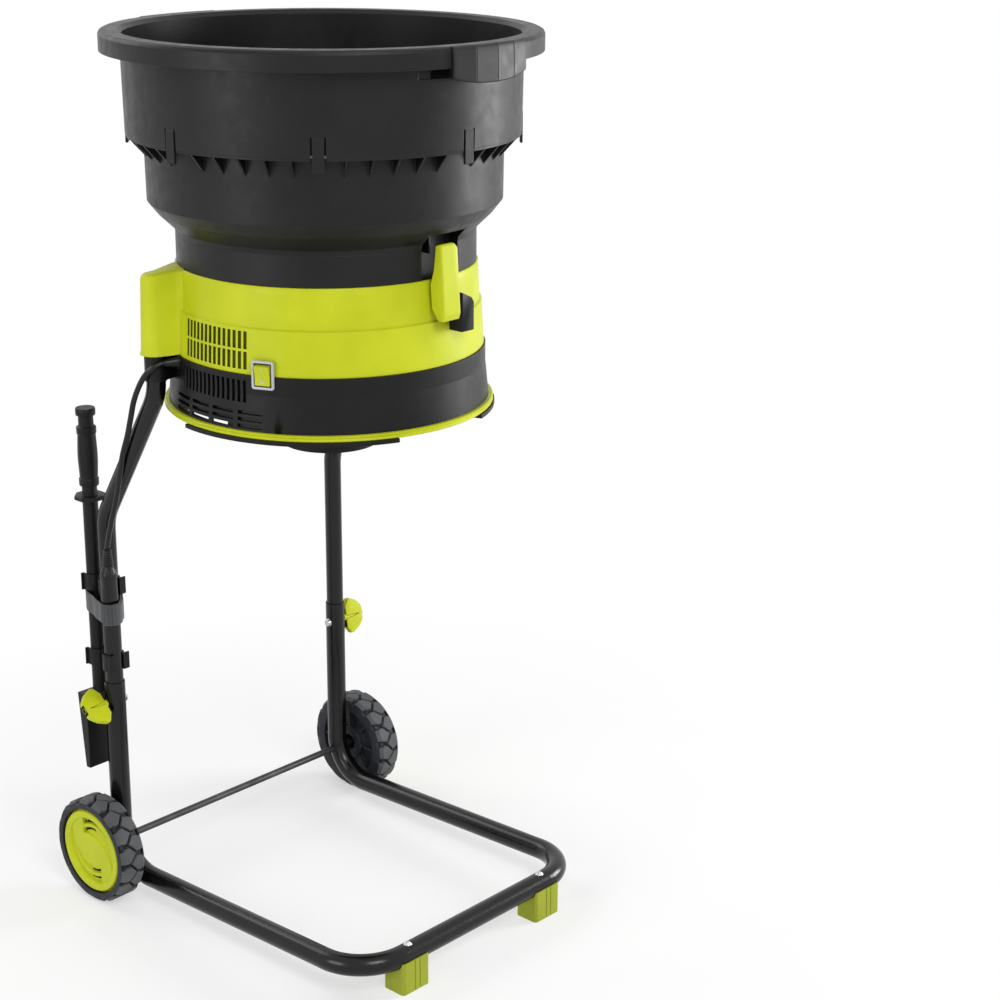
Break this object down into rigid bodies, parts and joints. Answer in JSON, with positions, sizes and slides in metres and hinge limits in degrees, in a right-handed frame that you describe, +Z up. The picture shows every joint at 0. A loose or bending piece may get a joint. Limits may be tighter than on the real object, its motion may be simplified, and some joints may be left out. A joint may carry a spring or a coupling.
{
  "type": "leaf shredder",
  "caption": "Electric line-cutting leaf shredder: round open hopper over a motor housing with a bag ring, on a bent-tube stand with wheels and front feet, with a tamper clipped to the leg",
  "frame": {"origin": "On the ground, under the vertical axis of the hopper and the motor, at the middle of the machine's footprint.", "axes": "+Z is up along the hopper's axis. The front bar, its feet and the latch lever are at -Y. The axle runs along X at +Y, and the tamper hangs at -X."},
  "size_m": [0.56, 0.5779, 1.204],
  "materials": {
    "frame_paint": "gloss black paint",
    "dark_steel": "black oxide",
    "bright_steel": "zinc plated",
    "wheel_plastic": "matt dark grey",
    "lime_plastic": "satin lime",
    "foot_plastic": "satin lime",
    "black_plastic": "satin black",
    "hopper_plastic": "satin black",
    "strap_fabric": "woven",
    "cord_rubber": "matt",
    "blade_brass": "plain",
    "motor_iron": "varnished",
    "line_nylon": "nylon line",
    "bezel_plastic": "clear grey"
  },
  "bodies": {
    "stand": {"base_frame": "frame_paint", "axle": "dark_steel", "axle_nuts": "bright_steel", "front_feet": "foot_plastic", "foot_screws": "bright_steel", "left_leg": "frame_paint", "right_leg": "frame_paint", "leg_bolts": "bright_steel", "socket_screws": "bright_steel", "tool_clips": "black_plastic", "cord_strap": "strap_fabric", "cord_gland": "cord_rubber", "power_cord": "cord_rubber", "plug_body": "cord_rubber", "plug_blades": "blade_brass", "base_casing": "black_plastic", "bag_ring": "lime_plastic", "bag_lips": "black_plastic", "motor_spider": "black_plastic", "spider_screws": "bright_steel", "motor_pot": "black_plastic", "motor_lid": "black_plastic", "motor_stator": "motor_iron", "carbon_brushes": "motor_iron", "lower_bearing": "bright_steel", "upper_bearing": "bright_steel", "upper_housing": "lime_plastic", "switch_body": "black_plastic", "switch_bezel": "bezel_plastic", "latch_block": "black_plastic", "latch_pin": "bright_steel", "interlock_switch": "black_plastic"},
    "left_wheel": {"left_wheel": "wheel_plastic", "left_hub_cap": "lime_plastic"},
    "right_wheel": {"right_wheel": "wheel_plastic", "right_hub_cap": "lime_plastic"},
    "rotor": {"motor_shaft": "bright_steel", "armature": "motor_iron", "commutator": "blade_brass", "cooling_fan": "black_plastic", "cutting_disc": "black_plastic", "line_posts": "lime_plastic", "cutting_lines": "line_nylon", "disc_nut": "bright_steel"},
    "rocker": {"power_rocker": "lime_plastic"},
    "lever": {"latch_lever": "lime_plastic"},
    "hopper": {"hopper_neck": "hopper_plastic", "latch_pocket": "hopper_plastic", "lower_hopper": "hopper_plastic", "upper_hopper": "hopper_plastic"},
    "left_knob": {"left_knob": "lime_plastic"},
    "right_knob": {"right_knob": "lime_plastic"},
    "tamper": {"tamper_shaft": "black_plastic", "tamper_grip": "black_plastic", "tamper_paddle": "black_plastic"}
  },
  "joints": [
    {"name": "left_wheel_spin", "type": "hinge", "parent": "stand", "child": "left_wheel", "pos_m": [-0.25, 0.21854, 0.075], "axis": [1, 0, 0], "continuous": true},
    {"name": "right_wheel_spin", "type": "hinge", "parent": "stand", "child": "right_wheel", "pos_m": [0.25, 0.21854, 0.075], "axis": [1, 0, 0], "continuous": true},
    {"name": "cutter_spin", "type": "hinge", "parent": "stand", "child": "rotor", "pos_m": [0, 0, 0.858], "axis": [0, 0, 1], "continuous": true},
    {"name": "power_switch", "type": "hinge", "parent": "stand", "child": "rocker", "pos_m": [-0.18993, -0.08357, 0.8025], "axis": [-0.4027, 0.9153, 0], "range_deg": [0, 16]},
    {"name": "latch_swing", "type": "hinge", "parent": "stand", "child": "lever", "pos_m": [0, -0.2132, 0.866], "axis": [1, 0, 0], "range_deg": [0, 75]},
    {"name": "hopper_lift", "type": "slide", "parent": "stand", "child": "hopper", "axis": [0, 0, 1], "range_m": [0, 0.25]},
    {"name": "left_knob_turn", "type": "hinge", "parent": "stand", "child": "left_knob", "pos_m": [-0.23, 0.221, 0.285], "axis": [1, 0, 0], "continuous": true},
    {"name": "right_knob_turn", "type": "hinge", "parent": "stand", "child": "right_knob", "pos_m": [0.23, 0.221, 0.285], "axis": [1, 0, 0], "continuous": true},
    {"name": "tamper_pull", "type": "slide", "parent": "stand", "child": "tamper", "axis": [0, 1, 0], "range_m": [0, 0.12], "deforming": ["cord_strap"]}
  ]
}
